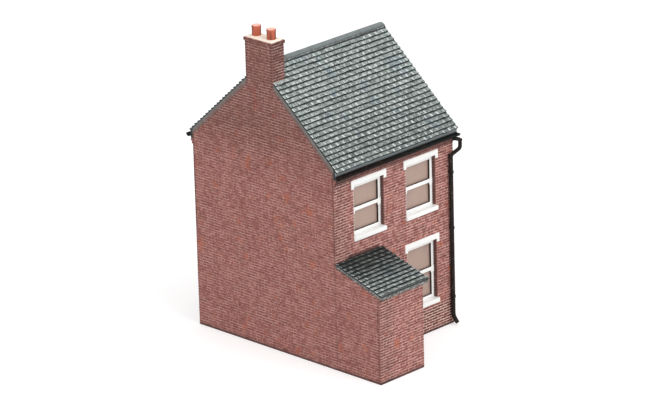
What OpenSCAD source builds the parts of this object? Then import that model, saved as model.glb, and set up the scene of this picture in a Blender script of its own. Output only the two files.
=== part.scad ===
// A small painted model of a brick end-of-terrace house: two storeys, slate roof,
// one gable chimney and a lean-to outhouse in the back yard.
// Frame: millimetres, +Z up. The origin is on the ground at the middle of the main block.
// The chimney gable faces +X, the party wall -X, the yard side +Y and the street side -Y.

/* [House body] */
// Width of the main block, from the gable face to the party face
house_w = 60; // [56:1:80]
// Depth of the main block, from street face to yard face
house_d = 67.8; // [60:0.2:90]
// Thickness of every wall
wall_t = 3.4; // [3:0.1:4]
// Height where the underside of the roof meets the outer face of the walls
wall_h = 71.2; // [71:0.2:84]
// Thickness of the ground floor
floor_t = 1.5; // [1:0.1:3]

/* [Roof] */
// Pitch of both slopes, in degrees
roof_pitch = 41.5; // [35:0.5:48]
// Thickness of the roof slopes, square to the slope
roof_t = 1.8; // [1.2:0.1:2.6]
// How far the roof passes the face of the wall at the eaves
eaves_over = 1.2; // [0.8:0.1:2]
// How far the roof passes the party wall
party_over = 1.2; // [0:0.1:2]
// Height of the flat soffit below the point where the roof meets the wall
soffit_drop = 1.5; // [1:0.1:2]
// Radius of the half-round ridge
ridge_r = 1.7; // [1.2:0.1:2.2]
// Height of the top of the ridge above the apex of the slopes
ridge_rise = 0.4; // [0.2:0.1:0.6]

/* [Eaves corbel] */
// Height of one corbel course
corbel_course = 1.0; // [0.8:0.1:1.4]
// Step of each corbel course from the one below
corbel_step = 0.5; // [0.3:0.1:0.6]

/* [Gutters and downpipes] */
// Outer radius of the half-round gutter
gutter_r = 1.1; // [0.9:0.1:1.5]
// Thickness of the gutter
gutter_t = 0.35; // [0.3:0.05:0.5]
// Height of the gutter's rim above the soffit
gutter_rim = 1.4; // [1.1:0.1:1.8]
// How far the gutter passes the party wall
gutter_over = 0.6; // [0.4:0.1:1.2]
// Radius of the downpipe
pipe_r = 0.75; // [0.5:0.05:0.9]
// Gap between the downpipe and the wall
pipe_gap = 0.3; // [0.2:0.05:0.6]
// Distance from the party face to the middle of the downpipe
pipe_in = 2.05; // [1.8:0.05:6]
// Radius of the swan neck
neck_r = 0.7; // [0.5:0.05:0.75]
// Distance from the party face to the outlet under the gutter
outlet_in = 1.7; // [1:0.1:4]
// How far the middle of the swan neck stands beyond the party wall
neck_over = 1.4; // [1:0.1:2]
// How far the arm falls from the outlet to the neck
arm_drop = 1.2; // [0.8:0.1:3]
// Length of the straight drop below the arm
neck_drop = 3.1; // [2:0.1:5]
// Height of the slanting part of the swan neck
neck_h = 2.1; // [1.8:0.1:6]
// Heights of the pipe clips above the ground
clip_z = [10.1, 35.9, 56.6];
// How far the collar of a clip stands out from the pipe
clip_t = 0.2; // [0.15:0.05:0.25]
// Height of a clip
clip_h = 0.9; // [0.6:0.1:1.4]
// Length of the lug at each side of a clip
clip_lug = 0.65; // [0.3:0.05:1]
// How much thicker the pipe is at its bends
bend_swell = 0.15; // [0.15:0.05:0.3]
// Height of the bend above the shoe
shoe_z = 3.2; // [2.6:0.2:6]
// How far the shoe kicks out from the wall
shoe_kick = 1.9; // [1:0.1:3]
// Height of the open end of the shoe
shoe_end_z = 1; // [0.8:0.1:1.4]

/* [Chimney] */
// Depth of the stack across the gable
stack_d = 12.7; // [10:0.1:16]
// Thickness of the stack, from the gable face inwards
stack_w = 5.8; // [5:0.1:9]
// Height of the top of the stack above the apex of the slopes
stack_rise = 9.1; // [5:0.1:14]
// Height of the oversailing band
band_h = 1.1; // [0.6:0.1:2]
// How far the band stands out from the stack
band_over = 0.4; // [0.2:0.1:0.6]
// Height of the mortar flaunching
flaunch_h = 0.5; // [0.3:0.1:1.4]
// Width of the slope around the top of the flaunching
flaunch_slope = 0.7; // [0.4:0.1:0.9]
// Radius of a pot
pot_r = 1.55; // [1.2:0.05:1.9]
// Height of a pot
pot_h = 3.6; // [2.5:0.1:6]
// How far the rim of a pot stands out
pot_rim = 0.15; // [0.1:0.05:0.25]
// Height of the rim
pot_rim_h = 0.7; // [0.4:0.1:1]
// Radius of the dished top of a pot
flue_r = 1.15; // [0.8:0.05:1.2]
// Depth of the dish
flue_depth = 0.3; // [0.2:0.05:0.5]
// Distance between the middles of the pots
pot_pitch = 7.1; // [5:0.1:8]

/* [Openings] */
// Width of a window opening at the sash
window_w = 14.6; // [10:0.2:16]
// Distance from the gable face to the middle of the gable column of windows
gable_column = 17.3; // [14:0.1:19]
// Distance from the party face to the middle of the party column of windows
party_column = 16.5; // [14:0.1:19]
// Height of the upper sills
upper_sill_z = 46.5; // [44:0.5:50]
// Height of the heads of the upper windows
upper_head_z = 65; // [60:0.5:65.5]
// Height of the lower sills
lower_sill_z = 12; // [8:0.5:16]
// Height of the heads of the lower windows and the front door
lower_head_z = 34; // [31:0.5:38]
// Depth of the brick reveal in front of a sash
reveal_d = 1.4; // [1:0.1:1.8]
// How much wider each side of the reveal is at the wall face
reveal_splay = 0.5; // [0.2:0.1:0.8]

/* [Sashes] */
// Thickness of a sash
sash_t = 0.85; // [0.5:0.05:0.95]
// Width of the stiles
stile_w = 1.25; // [0.8:0.05:2]
// Height of the top rail
top_rail = 1.5; // [0.8:0.1:2]
// Height of the meeting rail
meeting_rail = 1.4; // [0.8:0.1:1.6]
// Height of the bottom rail
bottom_rail = 1.3; // [0.8:0.1:2]
// Thickness of a pane
pane_t = 0.5; // [0.4:0.05:0.8]

/* [Lintels and sills] */
// Height of a lintel above the opening
lintel_h = 2; // [1.5:0.1:2.6]
// How far a lintel passes the reveal at each side
lintel_bearing = 0.95; // [0.6:0.05:1.4]
// How far a lintel stands out from the wall
lintel_proud = 0.3; // [0.2:0.05:0.5]
// Length of the drop ears of a lintel
ear_drop = 1.2; // [0.8:0.1:2]
// Width of the drop ears
ear_w = 1.35; // [1:0.05:1.5]
// Thickness of a sill
sill_h = 1.6; // [1:0.1:2]
// How far a sill stands out from the wall
sill_proud = 0.8; // [0.4:0.1:1.2]
// How far a sill passes the reveal at each side
sill_bearing = 0.2; // [0.1:0.05:0.6]

/* [Front door] */
// Width of the front doorway inside its frame
door_w = 10.8; // [9:0.2:12]
// Height of the door leaf
door_h = 25.2; // [23:0.2:26]
// Width of the door frame
door_jamb = 0.9; // [0.6:0.1:1.2]
// Thickness of the door frame
door_frame_t = 1; // [0.8:0.1:1.2]
// Thickness of a door leaf
leaf_t = 0.7; // [0.5:0.05:0.8]
// Depth of the sunk panels of the front door
panel_sink = 0.25; // [0.15:0.05:0.3]
// Width of the members around the panels
panel_margin = 1.3; // [1:0.1:1.6]
// Height of the lock rail above the foot of the front door
lock_z = 10; // [8:0.2:13]
// Height of the door step
step_h = 1.8; // [1:0.1:3]
// How far the step stands out from the wall
step_proud = 2.4; // [1.5:0.1:4]
// How far the step passes the doorway at each side
step_side = 1.2; // [0.6:0.1:2]

/* [Outhouse] */
// Width of the outhouse
outhouse_w = 21.6; // [18:0.2:22]
// How far the outhouse stands out into the yard
outhouse_d = 20.3; // [17:0.1:26]
// Height where the underside of the lean-to meets the yard wall of the house
leanto_z = 37.6; // [36:0.2:40]
// Pitch of the lean-to, in degrees
leanto_pitch = 17.3; // [12:0.1:22]
// Thickness of the lean-to, square to the slope
leanto_t = 1.3; // [1:0.05:2]
// How far the lean-to passes the end wall
leanto_over = 1.2; // [0.6:0.1:2]
// How far the lean-to passes the yard side wall
leanto_side = 1.8; // [0.4:0.1:2]
// Width of the outhouse doorway
yard_door_w = 9.8; // [8:0.2:10.6]
// Height of the head of the outhouse doorway
yard_door_z = 26; // [24:0.5:27]

/* [Hidden] */
$fn = 48;
cut = 1;                                          // how far a cutter passes the face that it opens
front = house_d/2;                                // distance from the middle to the street and yard faces
side = house_w/2;                                 // distance from the middle to the gable and party faces
rise = tan(roof_pitch);
under_apex = wall_h + front*rise;                 // apex of the underside of the roof
top_apex = under_apex + roof_t/cos(roof_pitch);   // apex of the slopes
soffit_z = wall_h - soffit_drop;
fascia_y = front + eaves_over;
gable_x = side - gable_column;                    // middle of the gable column of openings
party_x = party_column - side;                    // middle of the party column of openings
sash_back = reveal_d + sash_t;                    // depth of the front of the panes
pane_back = sash_back + pane_t;
stack_top = top_apex + stack_rise;
stack_foot = under_apex - rise*stack_d/2;         // where the stack's sides reach the underside of the roof
stack_x = side - stack_w;                         // inner face of the stack
ridge_z = top_apex + ridge_rise - ridge_r;        // axis of the ridge
rim_z = soffit_z + gutter_rim;                    // rim of the gutters
gutter_y = fascia_y + gutter_r;                   // axis of the gutters
gutter_end = side + gutter_over;                  // distance from the middle to the party ends of the gutters
outlet_x = outlet_in - side;
neck_x = -side - neck_over;
pipe_x = pipe_in - side;
pipe_y = front + pipe_gap + pipe_r;
lug_reach = pipe_r + clip_t + clip_lug;
outlet_z = rim_z - gutter_r + gutter_t - neck_r;  // middle of the arm where it leaves the gutter
elbow_z = outlet_z - arm_drop;
neck_z = elbow_z - neck_drop;                     // where the swan neck starts to slant
run_z = neck_z - neck_h;                          // top of the straight run
doorway_w = door_w + 2*door_jamb;
transom_z = step_h + door_h;
end_y = front + outhouse_d;                       // yard face of the outhouse's end wall
fall = tan(leanto_pitch);
yard_x = side - outhouse_w;                       // yard face of the outhouse's side wall
yard_door_y = front + (outhouse_d - wall_t)/2;    // middle of the outhouse doorway

// Each window is [middle along the wall, sill height, head height]
upper_gable = [gable_x, upper_sill_z, upper_head_z];
upper_party = [party_x, upper_sill_z, upper_head_z];
lower_party = [party_x, lower_sill_z, lower_head_z];
windows = [upper_gable, upper_party, lower_party];

// Places children made against the plane y = 0, with the outside at +y, on the yard or the street face
module on_yard() translate([0, front, 0]) children();
module on_street() mirror([0, 1, 0]) on_yard() children();

// A prism along X with the outline given as [y, z] points, from x0 to x1
module along_x(outline, x0, x1)
    translate([x0, 0, 0]) rotate([90, 0, 90]) linear_extrude(x1 - x0) polygon(outline);

// The hole for a window or a door, wider at the face of the wall
module opening(middle, width, z0, z1)
    translate([middle, 0, z0]) linear_extrude(z1 - z0)
        polygon([
            for (s = [-1, 1]) each
                let (h = width/2)
                s < 0
                ? [[-h, -wall_t - cut], [-h, -reveal_d], [-h - reveal_splay, 0], [-h - reveal_splay, cut]]
                : [[h + reveal_splay, cut], [h + reveal_splay, 0], [h, -reveal_d], [h, -wall_t - cut]]
        ]);

// A lintel with a drop ear at each end
module lintel(middle, width, head) {
    half = width/2 + reveal_splay + lintel_bearing;
    translate([middle - half, -reveal_d, head]) cube([2*half, reveal_d + lintel_proud, lintel_h]);
    for (x = [middle - half, middle + half - ear_w])
        translate([x, 0, head - ear_drop]) cube([ear_w, lintel_proud, ear_drop]);
}

module sill(middle, width, z) {
    half = width/2 + reveal_splay + sill_bearing;
    translate([middle - half, -pane_back, z - sill_h]) cube([2*half, pane_back + sill_proud, sill_h]);
}

// A sash frame of two equal lights
module sash(window) {
    height = window[2] - window[1];
    light_w = window_w - 2*stile_w;
    light_h = (height - top_rail - meeting_rail - bottom_rail)/2;
    translate([window[0] - window_w/2, -sash_back, window[1]])
    difference() {
        cube([window_w, sash_t, height]);
        for (z = [bottom_rail, bottom_rail + light_h + meeting_rail])
            translate([stile_w, -cut, z]) cube([light_w, sash_t + 2*cut, light_h]);
    }
}

module pane(window)
    translate([window[0] - window_w/2, -pane_back, window[1]])
        cube([window_w, pane_t, window[2] - window[1]]);

module gable_wall() {
    color("#8c5048")
    along_x([
        [front, 0], [front, wall_h], [stack_d/2, stack_foot],
        [-stack_d/2, stack_foot], [-front, wall_h], [-front, 0]
    ], side - wall_t, side);
}

module party_wall() {
    color("#8c5048")
    along_x([
        [front, 0], [front, wall_h], [0, under_apex], [-front, wall_h], [-front, 0]
    ], -side, wall_t - side);
}

// A long wall between the gable and party walls, with its top cut to the slope
module long_wall()
    along_x([
        [-wall_t, 0], [0, 0], [0, wall_h], [-wall_t, wall_h + wall_t*rise]
    ], wall_t - side, side - wall_t);

module window_holes()
    for (w = windows) {
        opening(w[0], window_w, w[1], w[2]);
        lintel(w[0], window_w, w[2]);
        sill(w[0], window_w, w[1]);
    }

module yard_wall() {
    color("#95584c")
    on_yard() difference() {
        long_wall();
        window_holes();
    }
}

module street_wall() {
    color("#95584c")
    on_street() difference() {
        long_wall();
        window_holes();
        opening(gable_x, doorway_w, -cut, lower_head_z);
        lintel(gable_x, doorway_w, lower_head_z);
        step_block();
    }
}

// Two courses that step out under the eaves
module corbel()
    along_x([
        for (i = [0, 1]) each [
            [(i + 1)*corbel_step, soffit_z - (2 - i)*corbel_course],
            [(i + 1)*corbel_step, soffit_z - (1 - i)*corbel_course]
        ],
        [0, soffit_z], [0, soffit_z - 2*corbel_course]
    ], -side, side);

module yard_corbel() color("#8a5247") on_yard() corbel();
module street_corbel() color("#8a5247") on_street() corbel();

module ground_floor() {
    color("#6b5a50") {
        translate([wall_t - side, wall_t - front, 0])
            cube([house_w - 2*wall_t, house_d - 2*wall_t, floor_t]);
        translate([yard_x + wall_t, front, 0])
            cube([outhouse_w - 2*wall_t, outhouse_d - wall_t, floor_t]);
    }
}

// The roof on the +y side, with a boxed eave and a notch for the stack
module slope()
    difference() {
        along_x([
            [0, top_apex], [fascia_y, top_apex - fascia_y*rise], [fascia_y, soffit_z],
            [front, soffit_z], [front, wall_h], [0, under_apex]
        ], -side - party_over, side);
        stack_block();
    }

module yard_slope() color("#6f7c7e") slope();
module street_slope() color("#6f7c7e") mirror([0, 1, 0]) slope();

module ridge_cap() {
    color("#5f696c")
    difference() {
        translate([-side - party_over, 0, ridge_z]) rotate([0, 90, 0])
            cylinder(r = ridge_r, h = stack_x + side + party_over);
        along_x([
            [-front, top_apex - front*rise], [0, top_apex], [front, top_apex - front*rise]
        ], -side - party_over - cut, side);
    }
}

module stack_block()
    translate([stack_x, -stack_d/2, stack_foot]) cube([stack_w, stack_d, stack_top - band_h - stack_foot]);

module chimney_stack() color("#86504a") stack_block();

module chimney_band() {
    color("#7f4b45")
    translate([stack_x - band_over, -stack_d/2 - band_over, stack_top - band_h])
        cube([stack_w + 2*band_over, stack_d + 2*band_over, band_h]);
}

// Mortar bed with sloping edges, made where two long wedges meet
module flaunching() {
    half_d = stack_d/2;
    half_w = stack_w/2;
    color("#e9dccb")
    translate([stack_x + half_w, 0, stack_top])
    intersection() {
        along_x([
            [-half_d, 0], [half_d, 0],
            [half_d - flaunch_slope, flaunch_h], [flaunch_slope - half_d, flaunch_h]
        ], -half_w, half_w);
        rotate([90, 0, 0]) linear_extrude(stack_d, center = true)
            polygon([
                [-half_w, 0], [half_w, 0],
                [half_w - flaunch_slope, flaunch_h], [flaunch_slope - half_w, flaunch_h]
            ]);
    }
}

// A pot with a rolled rim and a dished top
module pot() {
    rim_r = pot_r + pot_rim;
    translate([stack_x + stack_w/2, 0, stack_top + flaunch_h])
    rotate_extrude()
        polygon([
            [0, 0], [pot_r, 0], [pot_r, pot_h - pot_rim_h], [rim_r, pot_h - pot_rim_h + pot_rim],
            [rim_r, pot_h - pot_rim], [pot_r, pot_h], [flue_r, pot_h], [flue_r, pot_h - flue_depth],
            [0, pot_h - flue_depth]
        ]);
}

module yard_pot() color("#c65c42") translate([0, pot_pitch/2, 0]) pot();
module street_pot() color("#c65c42") translate([0, -pot_pitch/2, 0]) pot();

// Half-round channel with closed ends, hung on the fascia
module gutter() {
    bore_r = gutter_r - gutter_t;
    channel = side + gutter_end;
    translate([-gutter_end, gutter_y, rim_z])
    difference() {
        rotate([0, 90, 0]) cylinder(r = gutter_r, h = channel);
        translate([gutter_t, 0, 0]) rotate([0, 90, 0]) cylinder(r = bore_r, h = channel - 2*gutter_t);
        translate([-cut, -gutter_r - cut, 0]) cube([channel + 2*cut, 2*(gutter_r + cut), gutter_r + cut]);
    }
}

module yard_gutter() color("#1d1f21") gutter();
module street_gutter() color("#1d1f21") mirror([0, 1, 0]) gutter();

// A round rod from one point to another
module rod(from, to, radius) {
    run = to - from;
    translate(from) rotate([0, acos(run[2]/norm(run)), atan2(run[1], run[0])])
        cylinder(r = radius, h = norm(run));
}

// Rods of one radius along a list of points
module run_of_pipe(route, radius)
    for (i = [1 : len(route) - 1])
        rod(route[i - 1], route[i], radius);

// The downpipe leaves the gutter by an arm that swings out past the party wall, drops, and slants back
module downpipe() {
    outlet = [outlet_x, gutter_y, outlet_z];
    elbow = [neck_x, gutter_y, elbow_z];
    neck = [neck_x, gutter_y, neck_z];
    head = [pipe_x, pipe_y, run_z];
    bend = [pipe_x, pipe_y, shoe_z];
    run_of_pipe([outlet, elbow, neck, head], neck_r);
    run_of_pipe([head, bend, [pipe_x, pipe_y + shoe_kick, shoe_end_z]], pipe_r);
    for (p = [elbow, neck])
        translate(p) sphere(r = neck_r + bend_swell);
    for (p = [head, bend])
        translate(p) sphere(r = pipe_r + bend_swell);
    for (z = clip_z)
        translate([pipe_x, front, z]) {
            translate([0, pipe_y - front, 0]) cylinder(r = pipe_r + clip_t, h = clip_h);
            translate([-lug_reach, 0, 0]) cube([2*lug_reach, pipe_y - front + clip_t, clip_h]);
        }
}

module yard_downpipe() color("#191a1c") downpipe();
module street_downpipe() color("#191a1c") mirror([0, 1, 0]) downpipe();

// Outhouse walls, cut to the fall of the lean-to
module outhouse_gable_wall() {
    color("#8c5048")
    along_x([
        [front, 0], [end_y, 0], [end_y, leanto_z - outhouse_d*fall], [front, leanto_z]
    ], side - wall_t, side);
}

module outhouse_end_wall() {
    color("#a05a50")
    along_x([
        [end_y - wall_t, 0], [end_y, 0], [end_y, leanto_z - outhouse_d*fall],
        [end_y - wall_t, leanto_z - (outhouse_d - wall_t)*fall]
    ], yard_x + wall_t, side - wall_t);
}

// Places children made against the plane y = 0 on the outhouse's yard side, with the outside at -x
module on_outhouse_side() translate([yard_x, yard_door_y, 0]) rotate([0, 0, 90]) children();

module outhouse_side_wall() {
    color("#95584c")
    difference() {
        along_x([
            [front, 0], [end_y, 0], [end_y, leanto_z - outhouse_d*fall], [front, leanto_z]
        ], yard_x, yard_x + wall_t);
        on_outhouse_side() opening(0, yard_door_w, -cut, yard_door_z);
        on_outhouse_side() lintel(0, yard_door_w, yard_door_z);
    }
}

module outhouse_roof() {
    top_z = leanto_z + leanto_t/cos(leanto_pitch);
    reach = outhouse_d + leanto_over;
    color("#5f6a6c")
    along_x([
        [front, leanto_z], [front + reach, leanto_z - reach*fall],
        [front + reach, top_z - reach*fall], [front, top_z]
    ], yard_x - leanto_side, side);
}

module outhouse_lintel() color("#ece9e2") on_outhouse_side() lintel(0, yard_door_w, yard_door_z);

module outhouse_door() {
    color("#56443a")
    on_outhouse_side() translate([-yard_door_w/2, -reveal_d - leaf_t, 0])
        cube([yard_door_w, leaf_t, yard_door_z]);
}

module yard_lintels() color("#f2f0ea") on_yard() for (w = windows) lintel(w[0], window_w, w[2]);
module yard_sills() color("#f2f0ea") on_yard() for (w = windows) sill(w[0], window_w, w[1]);
module street_sills() color("#f2f0ea") on_street() for (w = windows) sill(w[0], window_w, w[1]);
module street_lintels() {
    color("#f2f0ea")
    on_street() {
        for (w = windows)
            lintel(w[0], window_w, w[2]);
        lintel(gable_x, doorway_w, lower_head_z);
    }
}

module yard_upper_gable_sash() color("#f6f4ef") on_yard() sash(upper_gable);
module yard_upper_party_sash() color("#f6f4ef") on_yard() sash(upper_party);
module yard_lower_sash() color("#f6f4ef") on_yard() sash(lower_party);
module yard_upper_gable_pane() color("#b09b91") on_yard() pane(upper_gable);
module yard_upper_party_pane() color("#b09b91") on_yard() pane(upper_party);
module yard_lower_pane() color("#b09b91") on_yard() pane(lower_party);
module street_upper_gable_sash() color("#f6f4ef") on_street() sash(upper_gable);
module street_upper_party_sash() color("#f6f4ef") on_street() sash(upper_party);
module street_lower_sash() color("#f6f4ef") on_street() sash(lower_party);
module street_upper_gable_pane() color("#b09b91") on_street() pane(upper_gable);
module street_upper_party_pane() color("#b09b91") on_street() pane(upper_party);
module street_lower_pane() color("#b09b91") on_street() pane(lower_party);

// Jambs, head and transom of the front doorway
module door_frame() {
    color("#f2f0ea")
    on_street() translate([gable_x - doorway_w/2, -reveal_d - door_frame_t, step_h])
    difference() {
        cube([doorway_w, door_frame_t, lower_head_z - step_h]);
        translate([door_jamb, -cut, -cut]) cube([door_w, door_frame_t + 2*cut, door_h + cut]);
        translate([door_jamb, -cut, door_h + door_jamb])
            cube([door_w, door_frame_t + 2*cut, lower_head_z - transom_z - 2*door_jamb]);
    }
}

// Four-panelled leaf: two tall panels above two short ones
module front_door() {
    panel_w = (door_w - 3*panel_margin)/2;
    color("#2f4a3c")
    on_street() translate([gable_x - door_w/2, -reveal_d - door_frame_t, step_h])
    difference() {
        cube([door_w, leaf_t, door_h]);
        for (x = [panel_margin, 2*panel_margin + panel_w]) {
            translate([x, leaf_t - panel_sink, panel_margin]) cube([panel_w, cut, lock_z - panel_margin]);
            translate([x, leaf_t - panel_sink, lock_z + panel_margin])
                cube([panel_w, cut, door_h - lock_z - 2*panel_margin]);
        }
    }
}

module fanlight() {
    color("#b09b91")
    on_street() translate([gable_x - door_w/2, -reveal_d - door_frame_t, transom_z + door_jamb])
        cube([door_w, pane_t, lower_head_z - transom_z - 2*door_jamb]);
}

// The step fills the foot of the doorway and stands out in front of it
module step_block() {
    half = doorway_w/2 + reveal_splay + step_side;
    translate([gable_x - half, -wall_t, 0]) cube([2*half, wall_t + step_proud, step_h]);
}

module door_step() color("#b9b2a6") on_street() step_block();

gable_wall();
party_wall();
yard_wall();
street_wall();
yard_corbel();
street_corbel();
ground_floor();
yard_slope();
street_slope();
ridge_cap();
chimney_stack();
chimney_band();
flaunching();
yard_pot();
street_pot();
yard_gutter();
street_gutter();
yard_downpipe();
street_downpipe();
outhouse_gable_wall();
outhouse_end_wall();
outhouse_side_wall();
outhouse_roof();
outhouse_door();
outhouse_lintel();
yard_lintels();
yard_sills();
street_lintels();
street_sills();
yard_upper_gable_sash();
yard_upper_party_sash();
yard_lower_sash();
yard_upper_gable_pane();
yard_upper_party_pane();
yard_lower_pane();
street_upper_gable_sash();
street_upper_party_sash();
street_lower_sash();
street_upper_gable_pane();
street_upper_party_pane();
street_lower_pane();
front_door();
door_frame();
fanlight();
door_step();
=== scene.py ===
import math
import random
import bmesh
import bpy
from mathutils import Matrix, Vector


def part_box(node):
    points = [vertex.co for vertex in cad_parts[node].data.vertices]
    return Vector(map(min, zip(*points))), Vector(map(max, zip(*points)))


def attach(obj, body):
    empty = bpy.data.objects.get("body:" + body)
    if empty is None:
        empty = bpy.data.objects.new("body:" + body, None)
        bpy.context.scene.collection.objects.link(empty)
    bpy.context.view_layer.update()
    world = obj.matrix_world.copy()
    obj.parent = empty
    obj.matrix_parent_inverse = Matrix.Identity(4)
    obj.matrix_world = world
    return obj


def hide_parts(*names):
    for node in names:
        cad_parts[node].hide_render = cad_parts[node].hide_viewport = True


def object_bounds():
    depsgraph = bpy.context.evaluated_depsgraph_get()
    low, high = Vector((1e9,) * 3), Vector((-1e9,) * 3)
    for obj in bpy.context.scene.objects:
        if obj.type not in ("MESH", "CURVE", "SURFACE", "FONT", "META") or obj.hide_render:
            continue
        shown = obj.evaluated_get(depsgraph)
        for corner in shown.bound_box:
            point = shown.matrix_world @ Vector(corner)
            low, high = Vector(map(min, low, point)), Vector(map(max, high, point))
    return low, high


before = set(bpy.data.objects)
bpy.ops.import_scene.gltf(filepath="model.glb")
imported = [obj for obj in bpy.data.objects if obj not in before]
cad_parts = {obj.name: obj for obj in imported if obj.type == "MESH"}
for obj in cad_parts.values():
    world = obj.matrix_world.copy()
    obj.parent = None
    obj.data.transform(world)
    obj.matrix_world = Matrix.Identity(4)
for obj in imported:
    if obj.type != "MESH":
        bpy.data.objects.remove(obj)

cadBounds = [list(corner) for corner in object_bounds()]
mm = 0.001
draw = random.Random(1876)
up = Vector((0, 0, 1))


def box(node):  # lowest and highest corner of a CAD node, in mm
    low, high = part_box(node)
    return low / mm, high / mm


def solidBoxes(node):  # the same for each separate solid of a node, from left to right and upwards
    work = bmesh.new()
    work.from_mesh(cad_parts[node].data)
    bmesh.ops.remove_doubles(work, verts=work.verts, dist=0.001 * mm)
    waiting, boxes = set(work.verts), []
    while waiting:
        reached, corners = [waiting.pop()], []
        while reached:
            vert = reached.pop()
            corners.append(vert.co / mm)
            for edge in vert.link_edges:
                other = edge.other_vert(vert)
                if other in waiting:
                    waiting.remove(other)
                    reached.append(other)
        boxes.append((Vector(map(min, *corners)), Vector(map(max, *corners))))
    work.free()
    return sorted(boxes, key=lambda b: (round(b[0].x, 2), round(b[0].z, 2), round(b[0].y, 2)))


def repaint(node, paint):  # for a CAD node that keeps its own shape
    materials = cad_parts[node].data.materials
    materials.clear()
    materials.append(paint)


def linked(name, data):  # a new object in the scene
    made = bpy.data.objects.new(name, data)
    bpy.context.scene.collection.objects.link(made)
    return made


def topAt(node, y):  # height of a node where it reaches a given y
    return max(v.co.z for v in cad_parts[node].data.vertices if abs(v.co.y / mm - y) < 0.01) / mm


side = box("gable_wall")[1].x                     # the gable face; the party face is at -side
front = box("gable_wall")[1].y                    # the yard face; the street face is at -front
partyVerge = box("yard_slope")[0].x
fascia = box("yard_slope")[1].y
soffit = box("yard_slope")[0].z
apex = box("yard_slope")[1].z
rise = (apex - topAt("yard_slope", fascia)) / fascia
pitch = math.atan(rise)
underApex = box("party_wall")[1].z
stackLow, stackHigh = box("chimney_stack")
outhouseEnd = box("outhouse_end_wall")[1].y
outhouseSide = box("outhouse_side_wall")[0].x
leantoTop = box("outhouse_roof")[1].z
leantoEave = box("outhouse_roof")[1].y
leantoFall = (leantoTop - topAt("outhouse_roof", leantoEave)) / (leantoEave - front)
leantoPitch = math.atan(leantoFall)
leantoUnder = topAt("outhouse_side_wall", front)
longWalls = {"yard": 1, "street": -1}             # the sign of y on each side
windows = ("upper_gable", "upper_party", "lower")
print("house: sizes read from the frame")


def tint(shade):  # a 0-255 shade as a linear colour
    return tuple(((c / 255 + 0.055) / 1.055) ** 2.4 if c > 10 else c / 3294.6 for c in shade) + (1.0,)


class Wire:  # a socket that can be used in sums
    def __init__(self, paint, socket):
        self.paint = paint
        self.socket = socket

    def sum(self, operation, first, second):
        return self.paint.node("ShaderNodeMath", {"operation": operation}, {0: first, 1: second})

    def __add__(self, other):
        return self.sum("ADD", self, other)

    def __sub__(self, other):
        return self.sum("SUBTRACT", self, other)

    def __rsub__(self, other):
        return self.sum("SUBTRACT", other, self)

    def __mul__(self, other):
        return self.sum("MULTIPLY", self, other)

    def __abs__(self):
        return self.sum("ABSOLUTE", self, 0.0)


class Paint:  # one material and the nodes behind it
    def __init__(self, name, **fixed):
        self.material = bpy.data.materials.new(name)
        self.material.use_nodes = True
        self.tree = self.material.node_tree
        self.tree.nodes.clear()
        self.shader = self.tree.nodes.new("ShaderNodeBsdfPrincipled")
        output = self.tree.nodes.new("ShaderNodeOutputMaterial")
        self.tree.links.new(self.shader.outputs[0], output.inputs["Surface"])
        for socket, value in fixed.items():
            self.shader.inputs[socket.replace("_", " ")].default_value = value
        self.place = self.node("ShaderNodeNewGeometry", out="Position")
        self.axes = {}

    def node(self, kind, settings=None, inputs=None, out=0):
        made = self.tree.nodes.new(kind)
        for name, value in (settings or {}).items():
            setattr(made, name, value)
        for name, value in (inputs or {}).items():
            if isinstance(value, Wire):
                self.tree.links.new(value.socket, made.inputs[name])
            else:
                made.inputs[name].default_value = value
        return Wire(self, made.outputs[out])

    def blend(self, first, second, share):  # of sockets or 0-255 shades
        first, second = (tint(colour) if isinstance(colour, tuple) else colour for colour in (first, second))
        return self.node("ShaderNodeMix", {"data_type": "RGBA"}, {0: share, 6: first, 7: second}, 2)

    def noise(self, size, detail=2.0, shift=0.0):  # size of the blotches in mm
        moved = self.place
        if shift:
            moved = self.node("ShaderNodeVectorMath", {"operation": "ADD"}, {0: moved, 1: (shift,) * 3})
        values = {"Vector": moved, "Scale": 1 / (size * mm), "Detail": detail}
        return self.node("ShaderNodeTexNoise", None, values)

    def facing(self, direction):  # 1 where the surface faces a direction or its opposite, 0 across it
        normal = self.node("ShaderNodeNewGeometry", out="Normal")
        settings = {"operation": "DOT_PRODUCT"}
        return abs(self.node("ShaderNodeVectorMath", settings, {0: normal, 1: direction}, "Value"))

    def ramp(self, value, low, high):  # 0 below low, 1 above high, smooth between
        return self.node("ShaderNodeMapRange", {"interpolation_type": "SMOOTHSTEP"},
                         {"Value": value, "From Min": low, "From Max": high})

    def along(self, axis):  # position along X, Y or Z, in mm
        if axis not in self.axes:
            self.axes[axis] = self.node("ShaderNodeSeparateXYZ", None, {0: self.place}, axis) * (1 / mm)
        return self.axes[axis]

    def value(self, name):
        return self.node("ShaderNodeAttribute", {"attribute_name": name}, None, "Fac")

    def finished(self, colour, height, depth):  # depth of the relief in mm
        relief = self.node("ShaderNodeBump", None, {"Height": height, "Distance": depth * mm})
        self.tree.links.new(colour.socket, self.shader.inputs["Base Color"])
        self.tree.links.new(relief.socket, self.shader.inputs["Normal"])
        return self.material


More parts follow.
